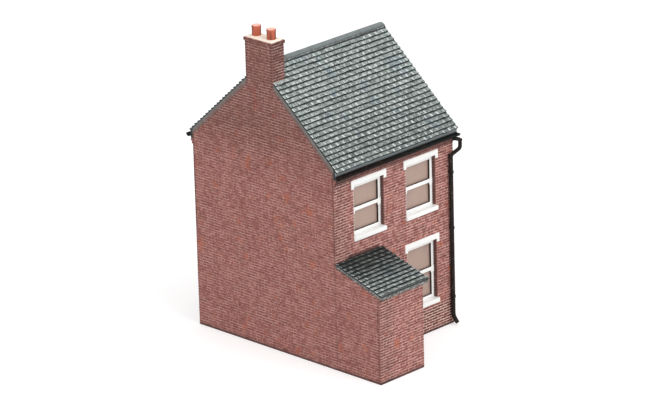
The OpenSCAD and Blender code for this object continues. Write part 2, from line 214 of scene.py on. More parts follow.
brick = {
    "course": 1.0,        # height of a course with its joint
    "length": 3.0,        # length of a brick with its joint
    "joint": 0.3,
    "perpend": 0.2,       # the upright joints are narrower
    "proud": 0.1,         # how far a brick stands out of its mortar
    "arris": 0.07,        # rounding of its edges
    "wobble": 0.035,      # how uneven the casting is
    "splay": 0.5,         # how much wider each side of an opening is at the face
    "shyness": 0.12,      # how far the bricks of the face stop short of an opening
    "seam": 0.5,          # strip without bricks beside a corner where two castings meet
    "sunk": 0.15,         # how deep a brick's foot lies in the mortar
    "sliver": 0.25,       # narrowest strip that is laid beside a hole
    "least": 0.2,         # smallest piece of brick
    "bandLength": 0.75,   # length of the chimney band's bricks, as a share of the others'
    "bandJoint": 0.12, "bandRise": 0.1,
    "red": (150, 88, 81), "dark": (106, 54, 50), "pale": (196, 140, 130), "orange": (190, 98, 62),
    "olive": (136, 106, 78), "plum": (140, 84, 92), "grimeAndShade": (160, 108, 100), "mortar": (230, 188, 178),
    "soot": (58, 32, 29), "damp": (92, 36, 30), "bleached": (242, 212, 200),
}


weatherAndShade = {               # strengths of the weathering and of the painted shade, with its places and widths in mm
    "patches": (          # shade, size, shift and strength of patches of other brick
        ("orange", 4.8, 0.0, 0.44), ("olive", 5.0, 0.3, 0.16), ("plum", 6.0, 0.6, 0.08),
    ),
    "soot": 0.44, "sootFrom": 68, "sootTo": 92, "sootDrift": 16,
    "stackFlanks": 0.05, "stackClean": 0.04,      # dirt added on the stack's flanks, and taken off all of it
    # corner, eaves and reveal are painted shade: towards the gable end of the long walls, under the eaves, and
    # in the reveals and under the lintels
    "corner": 0.3, "cornerWidth": 9, "smear": 0.9,
    "eaves": 0.55, "reveal": 0.75, "ground": 0.75, "bleach": 0.2,
    "strips": (           # place, lower end, width and strength of dark lines on the gables
        (front, leantoTop - 1, 0.5, 0.4), (front, 0, 0.5, 0.25),
        (outhouseEnd, 0, 1.2, 0.3), (stackHigh.y, stackLow.z, 0.7, 0.25),
    ),
}


def onLongWalls(paint):  # 1 on the walls that face the yard and the street, 0 on the gables
    return 1 - paint.ramp(abs(paint.along("X")), side - 0.3, side - 0.05)


def dampFoot(paint):  # 1 where rain splashes the foot of the long walls
    depth = abs(paint.along("Y"))
    wall = paint.ramp(depth, front - 0.4, front - 0.2) * (1 - paint.ramp(depth, front + 1, front + 2))
    return onLongWalls(paint) * wall * (1 - paint.ramp(paint.along("Z") + paint.noise(3.0) * 4, 10, 13))


def belowSoffit(paint):  # 1 under the eaves, 0 above them
    return 1 - paint.ramp(paint.along("Z"), soffit, soffit + 1)


def leantoSmear(paint):  # 1 on the yard wall just above the lean-to's slates
    across, height = paint.along("X"), paint.along("Z")
    smear = 1 - paint.ramp(height + paint.noise(1.5) * 2, leantoTop + 1.6, leantoTop + 3.0)
    smear = smear * paint.ramp(height, leantoTop - 2, leantoTop - 1)
    smear = smear * paint.ramp(paint.along("Y"), front - 1, front)
    smear = smear * paint.ramp(across, outhouseSide - 0.5, outhouseSide)
    return smear * (1 - paint.ramp(across, side - 7, side - 4))


def agedAndShaded(paint, colour, sooty=1.0):  # patches of other brick, then dirt, soot, a darker foot, dark lines on the gables, and painted shade towards the gable corners, under the eaves and in the reveals
    across, depth, height = paint.along("X"), abs(paint.along("Y")), paint.along("Z")
    for shade, size, shift, share in weatherAndShade["patches"]:
        patch = paint.ramp(paint.noise(size, 2.0, shift), 0.61, 0.72)
        colour = paint.blend(colour, brick[shade], patch * share)
    long = onLongWalls(paint)
    drifting = height + paint.noise(9.0) * weatherAndShade["sootDrift"]
    soot = paint.ramp(drifting, weatherAndShade["sootFrom"], weatherAndShade["sootTo"]) * weatherAndShade["soot"] * sooty
    stack = paint.ramp(height, stackLow.z + 4, stackLow.z + 10)
    stack = stack * (long * weatherAndShade["stackFlanks"] - weatherAndShade["stackClean"]) * sooty
    # painted shade, darker towards the gable end of the long walls
    corner = paint.ramp(across, side - weatherAndShade["cornerWidth"], side - 4) * long * weatherAndShade["corner"] * sooty
    smear = leantoSmear(paint)
    # painted shadow under the eaves and the gutter
    eaves = long * paint.ramp(height, soffit - 3.4, soffit - 1.4) * belowSoffit(paint) * weatherAndShade["eaves"]
    # painted shade in the reveals of the openings and under the lintels
    reveal = paint.ramp(front - depth, 0.1, 0.5) * (1 - paint.ramp(abs(across), side - 4, side - 3))
    reveal = reveal * weatherAndShade["reveal"] * belowSoffit(paint)
    # darker along the foot of the walls
    ground = (1 - paint.ramp(height + paint.noise(2.0) * 0.9, 0.9, 1.8)) * weatherAndShade["ground"]
    gable = paint.ramp(abs(across), side - 0.3, side - 0.1)
    # the darkening sums the dirt and soot with the painted shade, all laid on in the soot colour
    darkening = soot + stack + corner + eaves + reveal + ground + smear * weatherAndShade["smear"]
    for edge, foot, wide, strength in weatherAndShade["strips"]:
        strip = 1 - paint.ramp(abs(depth - (edge - wide / 2)), wide * 0.2, wide * 0.8)
        darkening = darkening + strip * paint.ramp(height, foot, foot + 1) * gable * strength
    return paint.blend(colour, brick["soot"], darkening)


def brickPaint():
    paint = Paint("brickPaint", Roughness=0.78)
    tone, hue, depth = paint.value("tone"), paint.value("hue"), paint.value("depth")
    bold = onLongWalls(paint) * 0.35 + 0.4
    body = paint.blend(brick["red"], brick["dark"], (1 - paint.ramp(tone, 0.1, 0.9)) * bold)
    body = paint.blend(body, brick["pale"], paint.ramp(tone, 0.75, 1.0) * bold * 0.4)
    dust = paint.ramp(paint.noise(0.8, 3.0), 0.46, 0.66)
    body = paint.blend(body, brick["pale"], dust * (bold * 0.5 + 0.4))
    pits = paint.ramp(paint.noise(0.9, 3.0, 0.5), 0.5, 0.68)
    body = paint.blend(body, brick["dark"], pits * (bold * 0.5 + 0.6))
    body = paint.blend(body, brick["damp"], dampFoot(paint) * (paint.ramp(hue, 0.1, 0.6) * 0.5 + 0.45))
    body = paint.blend(body, brick["grimeAndShade"], depth * 0.8)
    return paint.finished(agedAndShaded(paint, body), paint.noise(0.35, 3.0), 0.05)


def mortarPaint():
    paint = Paint("mortarPaint", Roughness=0.9)
    fresh = paint.ramp(paint.noise(1.8, 4.0, 0.7), 0.32, 0.62) * (onLongWalls(paint) * 0.35 + 0.6)
    body = paint.blend(brick["grimeAndShade"], brick["mortar"], fresh)
    salts = dampFoot(paint) * paint.ramp(paint.noise(1.2, 3.0), 0.36, 0.5)
    body = paint.blend(body, brick["bleached"], salts)
    corner = paint.ramp(paint.along("X"), side - weatherAndShade["cornerWidth"], side - 5) * onLongWalls(paint)
    corner = corner * belowSoffit(paint)
    body = paint.blend(body, brick["bleached"], corner * weatherAndShade["bleach"])
    return paint.finished(agedAndShaded(paint, body, 0.4), paint.noise(0.3, 3.0), 0.04)


roof = {
    "gauge": 1.9,         # height of a course of slates, along the slope
    "width": 3.15,
    "lap": 1.35,          # length of a slate over its gauge
    "thick": 0.85,
    "gap": 0.05,
    "margin": 0.2,        # bare verge beside the slates on the gables
    "firstTail": 1.95,    # from the apex to the first line of tails
    "drip": 0.35,         # how far the last tails pass the eave
    "leantoTail": 1.2,    # from the wall to the first line of tails on the lean-to
    "stray": 0.08,        # how far the joints stray sideways
    "slip": 0.05, "lift": 0.03,                   # how unevenly the slates lie
    "ragged": 0.04, "nick": (0.03, 0.12),         # how uneven their tails are, and the chips off their corners
    "ridgeRadius": 2.1, "ridgeLift": 0.1, "ridgeTile": 6.0, "ridgeJoint": 0.05,
    "ridgeSweep": (-12, 192),                     # degrees round the ridge's axis
    "pale": (168, 179, 174), "slate": (84, 94, 92), "blue": (104, 124, 138), "glint": (246, 251, 249),
    "wash": (26, 32, 31), "verge": (112, 113, 111), "vergeLow": (120, 94, 88),
    "ridgeTop": (118, 126, 126), "ridgeFoot": (24, 27, 27), "fascia": (134, 140, 142),
}


def slatePaint(name, dull=0.0):  # dull is how much soot and painted shade lie on the slates, most of it next to a wall
    paint = Paint(name, Roughness=0.6)
    tone, glint = paint.value("tone"), paint.value("glint")
    across, length, depth = paint.value("across"), paint.value("along"), paint.value("depth")
    fine, coarse = paint.noise(0.5, 3.0), paint.noise(1.3, 3.0, 0.4)
    mottle = fine * 0.55 + coarse * 0.45
    body = paint.blend(roof["slate"], roof["pale"], paint.ramp(mottle + tone * 0.04, 0.4, 0.64))
    body = paint.blend(body, roof["blue"], paint.ramp(paint.noise(8.0, 2.0), 0.58, 0.7) * 0.5)
    if dull:
        # painted shade cast by the wall, with soot, darkening the lean-to's slates near the wall
        shade = 1 - paint.ramp(paint.along("Y") + paint.noise(3.0) * 6, front + 4, front + 22) * 0.7
        body = paint.blend(body, roof["wash"], shade * paint.ramp(coarse, 0.62, 0.42) * dull)
        body = paint.blend(body, roof["wash"], shade * shade * dull)
        rubbed = 1 - shade * dull * 0.8
    else:
        rubbed = 1.0
        downhill = paint.ramp(apex - paint.along("Z"), 8, apex - soffit)
        body = paint.blend(body, roof["wash"], downhill * 0.34 + 0.02)
    edge = paint.ramp(abs(across - 0.5), 0.36, 0.46) * paint.ramp(length, 0.42, 0.55)
    chip = paint.ramp(paint.noise(0.6, 2.0, 0.9), 0.6, 0.68) * 0.5
    body = paint.blend(body, roof["glint"], edge * glint * rubbed)
    body = paint.blend(body, roof["glint"], chip * rubbed)
    # painted shade with dark wash just under the tails of the course above
    groove = 1 - paint.ramp(length + paint.noise(1.2) * 0.12, 0.34, 0.56)
    body = paint.blend(body, roof["wash"], groove * 0.9)
    # dark wash on the slates' sides and tails, partly painted shade
    body = paint.blend(body, roof["wash"], paint.ramp(depth, 0.1, 0.5))
    return paint.finished(body, mottle, 0.12)


def vergePaint(name, depthBelow, bare, speckle):  # the slab under the slates: grey where bare, else black
    paint = Paint(name, Roughness=0.7)
    mottle = paint.noise(1.4 - speckle * 0.7, 3.0)
    edge = paint.blend(roof["verge"], roof["vergeLow"],
                       paint.ramp(depthBelow(paint) + paint.noise(2.0) * 0.8, 0.6, 1.5))
    edge = paint.blend(edge, roof["wash"], paint.ramp(mottle, 0.5, 0.66) * (0.15 + speckle * 0.6))
    edge = paint.blend(edge, roof["pale"], paint.ramp(mottle, 0.48, 0.34) * (0.15 + speckle * 0.75))
    body = paint.blend(roof["wash"], edge, bare(paint))
    rim = box("yard_gutter")[1].z
    # painted highlight: a pale grey band on the fascia just above the gutter's rim, standing for light along
    # the gutter's top
    eave = paint.ramp(abs(paint.along("Y")), fascia - 0.3, fascia - 0.1)
    eave = eave * paint.ramp(paint.along("Z"), rim - 0.4, rim + 0.9)
    return paint.finished(paint.blend(body, roof["fascia"], eave), mottle, 0.05)


def belowRoof(paint):  # distance under the main roof's slopes, square to them
    return (apex - paint.along("Z")) * math.cos(pitch) - abs(paint.along("Y")) * math.sin(pitch)


def bareVerge(paint):  # 1 at the gables, but not past the long walls
    inside = 1 - paint.ramp(abs(paint.along("Y")), front - 0.3, front + 0.5)
    return paint.ramp(abs(paint.along("X")), side - 0.25, side - 0.1) * inside


def belowLeanto(paint):
    fallen = (paint.along("Y") - front) * math.sin(leantoPitch)
    return (leantoTop - paint.along("Z")) * math.cos(leantoPitch) - fallen


def bareLeanto(paint):  # all of the lean-to's slab, as it is above the ground
    return paint.ramp(paint.along("Z"), 0, 1)


def ridgePaint():
    paint = Paint("ridgePaint", Roughness=0.6)
    mottle = paint.noise(1.6, 3.0)
    crown = box("ridge_cap")[1].z
    # painted shade: the ridge tiles darken from the crown down to their foot
    grimeAndShade = 1 - paint.ramp(paint.along("Z") + mottle * 0.3, crown - 1.3, crown + 0.15)
    body = paint.blend(roof["ridgeTop"], roof["ridgeFoot"], grimeAndShade)
    body = paint.blend(body, roof["slate"], paint.ramp(mottle, 0.52, 0.7) * 0.3)
    return paint.finished(body, mottle, 0.05)


iron = {"gutter": (18, 21, 20), "chimneyEnd": (20, 12, 10), "pipe": (40, 35, 33), "rubbed": (104, 84, 74)}


def ironPaint(name, plain, brown, worn):  # black paint, turning brown towards the chimney end
    paint = Paint(name, Roughness=0.6, Specular_IOR_Level=0.08)
    streak = paint.noise(1.2, 4.0)
    body = paint.blend(plain, brown, paint.ramp(paint.along("X"), -10, 12))
    body = paint.blend(body, iron["rubbed"], paint.ramp(streak, 0.5, 0.75) * worn)
    return paint.finished(body, streak, 0.05)


clay = {
    "red": (204, 105, 79), "soot": (122, 58, 44), "shade": (112, 58, 44), "pale": (250, 200, 184),
    "dark": (0.71, -0.7, 0),                      # painted shade: what faces this way or the opposite way is darker
}


def potPaint():  # fired clay streaked with soot, with a pale top and painted shade down two opposite sides
    paint = Paint("firedClay", Roughness=0.7)
    drawn = paint.node("ShaderNodeVectorMath", {"operation": "MULTIPLY"}, {0: paint.place, 1: (1, 1, 0.15)})
    streak = paint.node("ShaderNodeTexNoise", None, {"Vector": drawn, "Scale": 1 / (0.9 * mm), "Detail": 3.0})
    body = paint.blend(clay["red"], clay["soot"], paint.ramp(streak, 0.46, 0.66) * 0.7)
    body = paint.blend(body, clay["shade"], paint.ramp(paint.facing(clay["dark"]), 0.55, 0.9) * 0.85)
    body = paint.blend(body, clay["pale"], paint.value("crown") * 0.9)
    return paint.finished(body, streak, 0.04)


def brushedPaint(name, shade, darkening, share, relief=0.04, size=0.9, **fixed):  # hand-laid paint over a casting
    paint = Paint(name, **fixed)
    streak = paint.noise(size, 4.0)
    return paint.finished(paint.blend(shade, darkening, paint.ramp(streak, 0.5, 0.8) * share), streak, relief)


brickFinish, mortarFinish = brickPaint(), mortarPaint()
mainSlates, leantoSlates = slatePaint("slatePaint"), slatePaint("sootAndShadeSlatePaint", 0.9)
vergeFinish = vergePaint("vergePaint", belowRoof, bareVerge, 0.0)
leantoFinish = vergePaint("leantoVergePaint", belowLeanto, bareLeanto, 1.0)
ridgeFinish, firedClay = ridgePaint(), potPaint()
blackIron = ironPaint("blackIron", iron["gutter"], iron["chimneyEnd"], 0.25)
pipeIron = ironPaint("pipeIron", iron["pipe"], iron["pipe"], 0.4)
whiteGloss = brushedPaint("whiteGloss", (252, 252, 250), (234, 228, 222), 0.4, Roughness=0.45)
shadowBrown = brushedPaint("shadowBrown", (56, 42, 38), (30, 24, 22), 0.6, Roughness=0.7)
paneFinish = brushedPaint("paneFinish", (178, 151, 138), (166, 142, 138), 0.9, 0.02, 5.0, Roughness=0.35)
mortarBed = brushedPaint("mortarBed", (252, 238, 222), (226, 202, 182), 0.5, Roughness=0.85)
greenGloss = brushedPaint("greenGloss", (52, 82, 64), (34, 52, 42), 0.6, Roughness=0.4)
brownGloss = brushedPaint("brownGloss", (98, 72, 56), (64, 48, 40), 0.7, Roughness=0.5)
stoneGrey = brushedPaint("stoneGrey", (178, 170, 156), (132, 124, 112), 0.7, 0.08, Roughness=0.85)
bareResin = brushedPaint("bareResin", (112, 96, 86), (88, 74, 66), 0.7, Roughness=0.6)
print("paint: mixed")


class Mould:  # gathers the points and faces of one piece, in mm, with a few values for each point
    def __init__(self):
        self.points, self.faces, self.values = [], [], {}

    def add(self, points, faces, **values):
        start = len(self.points)
        self.points += points
        self.faces += [[start + i for i in face] for face in faces]
        for name, value in values.items():
            numbers = value if isinstance(value, list) else [value] * len(points)
            self.values.setdefault(name, []).extend(numbers)

    def cast(self, name, paint, slot, smooth=False):
        mesh = bpy.data.meshes.new(name)
        mesh.from_pydata([p * mm for p in self.points], [], self.faces)
        for value, numbers in self.values.items():
            mesh.attributes.new(value, "FLOAT", "POINT").data.foreach_set("value", numbers)
        mesh.materials.append(paint)
        mesh.validate()
        piece = linked(name, mesh)
        if smooth:
            mesh.shade_smooth()
        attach(piece, "root")
        return piece


class Face:  # a flat face with u across it and v up it, seen from outside
    def __init__(self, origin, out):
        self.origin, self.out = Vector(origin), Vector(out).normalized()
        self.across = up.cross(self.out).normalized()
        self.rise = self.out.cross(self.across)

    def at(self, u, v, height):
        return self.origin + self.across * u + self.rise * v + self.out * height

    def span(self, low, high):  # a box as (left, right, bottom, top) on this face
        ends = [(Vector(corner) - self.origin) for corner in (low, high)]
        us, vs = sorted(e.dot(self.across) for e in ends), sorted(e.dot(self.rise) for e in ends)
        return us[0], us[1], vs[0], vs[1]


def clipped(outline, cut):  # keeps the side of a line where a*u + b*v <= limit
    a, b, limit = cut
    kept = []
    for here, after in zip(outline, outline[1:] + outline[:1]):
        dHere, dAfter = a * here.x + b * here.y - limit, a * after.x + b * after.y - limit
        if dHere <= 0:
            kept.append(here)
        if (dHere < 0) != (dAfter < 0):
            kept.append(here.lerp(after, dHere / (dHere - dAfter)))
    return [p for p, q in zip(kept, kept[1:] + kept[:1]) if (p - q).length > 0.03]


def inset(outline, depth):  # the outline moved inwards
    inner = []
    for before, here, after in zip(outline[-1:] + outline[:-1], outline, outline[1:] + outline[:1]):
        a, b = (here - before).normalized(), (after - here).normalized()
        turn = max(a.cross(b), 0.25)
        inner.append(here + (b - a) * depth / turn)
    return inner


def oblong(left, right, low, high):
    return [Vector(p) for p in ((left, low), (right, low), (right, high), (left, high))]


def barrel(rings, steps):  # faces between rings of points, closed at both ends
    faces = []
    for row in range(rings - 1):
        for k in range(steps):
            a, b = row * steps + k, row * steps + (k + 1) % steps
            faces.append([a, b, b + steps, a + steps])
    last = (rings - 1) * steps
    return faces + [list(range(steps))[::-1], list(range(last, last + steps))]


def addSlab(mould, face, outline, foot, top, bevel, shoulder=0.25, **values):
    # foot and top are heights, or lists with one for each corner; shoulder is depth's value under the bevel
    count = len(outline)
    foots = foot if isinstance(foot, list) else [foot] * count
    tops = top if isinstance(top, list) else [top] * count
    inner = inset(outline, bevel)
    rings = [[face.at(p.x, p.y, h) for p, h in zip(outline, foots)],
             [face.at(p.x, p.y, h - bevel) for p, h in zip(outline, tops)],
             [face.at(p.x, p.y, h) for p, h in zip(inner, tops)]]
    for name, value in values.items():
        if isinstance(value, list):
            values[name] = value * 3
    depth = [1.0] * count + [shoulder] * count + [0.0] * count
    mould.add(rings[0] + rings[1] + rings[2], barrel(3, count), depth=depth, **values)


def softened(node, name, paint, width=0.1, faceAxis=None, sidePaint=None):
    # a CAD solid with its edges rounded as a casting's are; sidePaint goes on what faces away from faceAxis
    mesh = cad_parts[node].data.copy()
    mesh.materials.clear()
    mesh.materials.append(paint)
    if sidePaint:
        mesh.materials.append(sidePaint)
    work = bmesh.new()
    work.from_mesh(mesh)
    bmesh.ops.remove_doubles(work, verts=work.verts, dist=0.001 * mm)
    bmesh.ops.dissolve_limit(work, angle_limit=math.radians(1), verts=work.verts, edges=work.edges)
    work.normal_update()
    for polygon in work.faces:
        polygon.material_index = int(sidePaint is not None and abs(polygon.normal.dot(faceAxis)) < 0.5)
        polygon.smooth = True
    work.to_mesh(mesh)
    work.free()
    piece = linked(name, mesh)
    bevel = piece.modifiers.new("roundedEdges", "BEVEL")
    bevel.width, bevel.segments, bevel.limit_method = width * mm, 2, "ANGLE"
    bevel.angle_limit = math.radians(30)
    bevel.harden_normals = True
    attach(piece, "root")
    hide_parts(node)
    return piece


def turned(mould, centre, profile, steps=40, **values):
    # a profile of (radius, height) turned about Z, closed at both ends
    points = []
    for radius, height in profile:
        for k in range(steps):
            turn = 2 * math.pi * k / steps
            points.append(centre + Vector((radius * math.cos(turn), radius * math.sin(turn), height)))
    spread = {name: [v for v in value for k in range(steps)] for name, value in values.items()}
    mould.add(points, barrel(len(profile), steps), **spread)


def rounded(route, radius, steps=6):  # a route with its corners rounded
    path = [route[0]]
    for before, here, after in zip(route, route[1:], route[2:]):
        start = here + (before - here).normalized() * radius
        end = here + (after - here).normalized() * radius
        for k in range(steps + 1):
            t = k / steps
            path.append(start * (1 - t) ** 2 + here * 2 * t * (1 - t) + end * t ** 2)
    return path + [route[-1]]


def tube(mould, path, radii, steps=20, hollow=0.0):  # hollow is the bore of the far end
    rings, normal = [], Vector((1, 0, 0))
    for i, here in enumerate(path):
        ahead = (path[min(i + 1, len(path) - 1)] - path[max(i - 1, 0)]).normalized()
        normal = (normal - ahead * normal.dot(ahead)).normalized()
        rings.append((here, normal, ahead.cross(normal), radii[i]))
    if hollow:
        here, normal, other, radius = rings[-1]
        rings.append((here, normal, other, hollow))
        rings.append((here + (path[-2] - here).normalized() * 1.2, normal, other, hollow))
    turns = [2 * math.pi * k / steps for k in range(steps)]
    points = [c + (n * math.cos(t) + b * math.sin(t)) * r for c, n, b, r in rings for t in turns]
    mould.add(points, barrel(len(rings), steps))


course = soffit / round(soffit / brick["course"])


def withoutHole(strip, hole):  # what is left of a (left, right, bottom, top) strip around a hole
    left, right, low, high = strip
    a, b, c, d = max(left, hole[0]), min(right, hole[1]), max(low, hole[2]), min(high, hole[3])
    if a >= b or c >= d:
        return [strip]
    parts = [(left, a, low, high), (b, right, low, high), (a, b, low, c), (a, b, d, high)]
    return [p for p in parts if min(p[1] - p[0], p[3] - p[2]) > brick["sliver"]]


def layBrick(mould, face, left, right, low, high, cuts):
    bed = brick["joint"] / 2
    outline = oblong(left, right, low + bed, high - bed)
    for cut in cuts:
        outline = clipped(outline, cut)
        if len(outline) < 3:
            return
    size = [max(p[k] for p in outline) - min(p[k] for p in outline) for k in (0, 1)]
    if min(size) < brick["least"]:
        return
    wobble = brick["wobble"]
    shifts = [Vector((draw.uniform(-wobble, wobble), draw.uniform(-wobble, wobble))) for p in outline]
    outline = [p + shift * 0.6 for p, shift in zip(outline, shifts)]
    top = brick["proud"] + draw.uniform(-wobble, wobble)
    tops = [top + draw.uniform(-wobble, wobble) * 0.5 for p in outline]
    tone = min(max(draw.gauss(0.55, 0.25), 0), 1)
    arris = min(brick["arris"], min(size) * 0.3)
    addSlab(mould, face, outline, -brick["sunk"], tops, arris, tone=tone, hue=draw.random())


def layBricks(mould, face, area, holes=(), cuts=(), grow=(0.0, 0.0), shift=0):
    # area is (left, right, bottom, top); grow lets the outer ends pass the corners by a brick's relief;
    # an odd shift swaps the courses that start with a whole brick and with half a brick
    left, right, bottom, top = area
    pace = (right - left) / max(round(2 * (right - left) / brick["length"]) / 2, 0.5)
    joint = brick["perpend"] / 2
    for row in range(round(bottom / course), math.ceil(top / course - 0.3)):
        strips = [(left, right, row * course, min((row + 1) * course, top + 0.1))]
        for hole in holes:
            strips = [part for strip in strips for part in withoutHole(strip, hole)]
        first = left + (pace / 2 if (row + shift) % 2 else 0)
        for a, b, c, d in strips:
            marks = [first + k * pace for k in range(-1, int((right - left) / pace) + 2)]
            ends = [a] + [m for m in marks if a + 0.2 * pace < m < b - 0.2 * pace] + [b]
            for start, end in zip(ends, ends[1:]):
                start += joint if start > a else (-grow[0] if a == left else 0)
                end -= joint if end < b else (-grow[1] if b == right else 0)
                layBrick(mould, face, start, end, c, d, cuts)


def layJamb(mould, inner, outer, turn, bottom, top):  # the side of a reveal, between two upright lines
    jamb = Face(inner, Vector((0, 0, turn)).cross((outer - inner).normalized()))
    reach = jamb.across.dot(outer - inner)
    layBricks(mould, jamb, (min(0, reach), max(0, reach), bottom, top), shift=1)


def openingBoxes(wall):  # boxes of the sashes, and of the door frame on the street
    sashes = [box(f"{wall}_{window}_sash") for window in windows]
    return sashes + ([box("door_frame")] if wall == "street" else [])


def layLongWall(wall, sign):  # the yard or the street wall, with its reveals and corbel
    mould = Mould()
    face = Face((0, sign * front, 0), (0, sign, 0))
    splay, proud = brick["splay"], brick["proud"]
    holes = []
    for low, high in openingBoxes(wall):
        foot, clear = 0 if low.z < 5 else low.z, splay + brick["shyness"]
        holes.append(face.span((low.x - clear, 0, foot), (high.x + clear, 0, high.z)))
        for edge, inward in ((low.x, 1), (high.x, -1)):
            inner = Vector((edge, sign * (abs(high.y if sign > 0 else low.y)), 0))
            outer = Vector((edge - inward * splay, sign * front, 0))
            layJamb(mould, inner, outer, sign * inward, low.z, high.z)
    for node in (f"{wall}_lintels", f"{wall}_sills"):
        holes += [face.span((low.x, 0, low.z), (high.x, 0, high.z)) for low, high in solidBoxes(node)]
    if wall == "yard":
        holes.append(face.span((outhouseSide, 0, -1), (side + 1, 0, leantoTop)))
    else:
        holes.append(face.span(*box("door_step")))
    layBricks(mould, face, (-side, side, 0, soffit - 2 * course), holes, grow=(proud, proud))
    for step, (low, high) in enumerate(((soffit - 2 * course, soffit - course), (soffit - course, soffit))):
        reach = (step + 1) * (box(f"{wall}_corbel")[1] - box(f"{wall}_corbel")[0]).y / 2
        shelf = Face((0, sign * (front + reach), 0), (0, sign, 0))
        layBricks(mould, shelf, (-side, side, low, high), grow=(proud, proud), shift=step)
        for end in (-1, 1):
            cheek = Face((end * side, 0, 0), (end, 0, 0))
            span = cheek.span((0, sign * front, low), (0, sign * (front + reach), high))
            layBrick(mould, cheek, *span, [])
    mould.cast(f"{wall}_bricks", brickFinish, "brickwork")


def layGables():
    proud, gable, party = brick["proud"], Mould(), Mould()
    foot = round(stackLow.z / course) * course
    slopes = [(sign * rise, 1, underApex) for sign in (-1, 1)]
    gableFace, partyFace = Face((side, 0, 0), (1, 0, 0)), Face((-side, 0, 0), (-1, 0, 0))
    seam = (front - brick["seam"], front + 1, leantoTop, foot)
    layBricks(gable, gableFace, (-front, front, 0, foot), [seam], slopes, (proud, 0))
    layBricks(gable, gableFace, (stackLow.y, stackHigh.y, foot, stackHigh.z), grow=(proud, proud))
    layBricks(party, partyFace, (-front, front, 0, underApex), cuts=slopes, grow=(proud, proud))
    gable.cast("gable_bricks", brickFinish, "brickwork")
    party.cast("party_bricks", brickFinish, "brickwork")


def layOuthouse():
    proud, mould = brick["proud"], Mould()
    gableFace, sideFace = Face((side, 0, 0), (1, 0, 0)), Face((outhouseSide, 0, 0), (-1, 0, 0))
    endFace = Face((0, outhouseEnd, 0), (0, 1, 0))
    limit = leantoUnder + leantoFall * front
    eave = leantoUnder - leantoFall * (outhouseEnd - front)
    layBricks(mould, gableFace, (front, outhouseEnd, 0, leantoUnder), cuts=[(leantoFall, 1, limit)],
              grow=(0, proud), shift=1)
    layBricks(mould, endFace, (-side, -outhouseSide, 0, eave), grow=(proud, proud))
    door, lintel = box("outhouse_door"), box("outhouse_lintel")
    splay = Vector((0, brick["splay"], 0))
    holes = [sideFace.span(door[0] - splay, door[1] + splay), sideFace.span(*lintel)]
    layBricks(mould, sideFace, (-outhouseEnd, -front, 0, leantoUnder), holes, [(-leantoFall, 1, limit)],
              grow=(proud, 0))
    for edge, inward in ((door[0].y, 1), (door[1].y, -1)):
        inner = Vector((door[0].x, edge, 0))
        layJamb(mould, inner, Vector((outhouseSide, edge, 0)) - splay * inward, inward, 0, door[1].z)
    mould.cast("outhouse_bricks", brickFinish, "brickwork")


def layStack():
    mould, proud = Mould(), brick["proud"]
    foot = apex - rise * stackHigh.y
    for sign in (-1, 1):
        flank = Face((0, sign * stackHigh.y, 0), (0, sign, 0))
        span = flank.span((stackLow.x, 0, foot), (side, 0, stackHigh.z))
        layBricks(mould, flank, span, grow=(proud, proud), shift=1)
    inner = Face((stackLow.x, 0, 0), (-1, 0, 0))
    layBricks(mould, inner, (stackLow.y, stackHigh.y, foot, stackHigh.z), grow=(proud, proud))
    low, high = box("chimney_band")
    for out, depth in (((1, 0, 0), high.x), ((-1, 0, 0), -low.x), ((0, 1, 0), high.y), ((0, -1, 0), high.y)):
        lip = Face(Vector(out) * depth, out)
        left, right, bottom, top = lip.span(low, high)
        count = round((right - left) / (brick["length"] * brick["bandLength"]))
        pace = (right - left) / count
        for k in range(count):
            end = left + (k + 1) * pace - brick["bandJoint"]
            layBrick(mould, lip, left + k * pace, end, bottom, top + brick["bandRise"], [])
    mould.cast("stack_bricks", brickFinish, "brickwork")


for wall, sign in longWalls.items():
    layLongWall(wall, sign)
layGables()
layOuthouse()
layStack()
for node in ("gable_wall", "party_wall", "yard_wall", "street_wall", "yard_corbel", "street_corbel",
             "chimney_stack", "chimney_band",
             "outhouse_gable_wall", "outhouse_end_wall", "outhouse_side_wall"):
    repaint(node, mortarFinish)
print("bricks: laid")


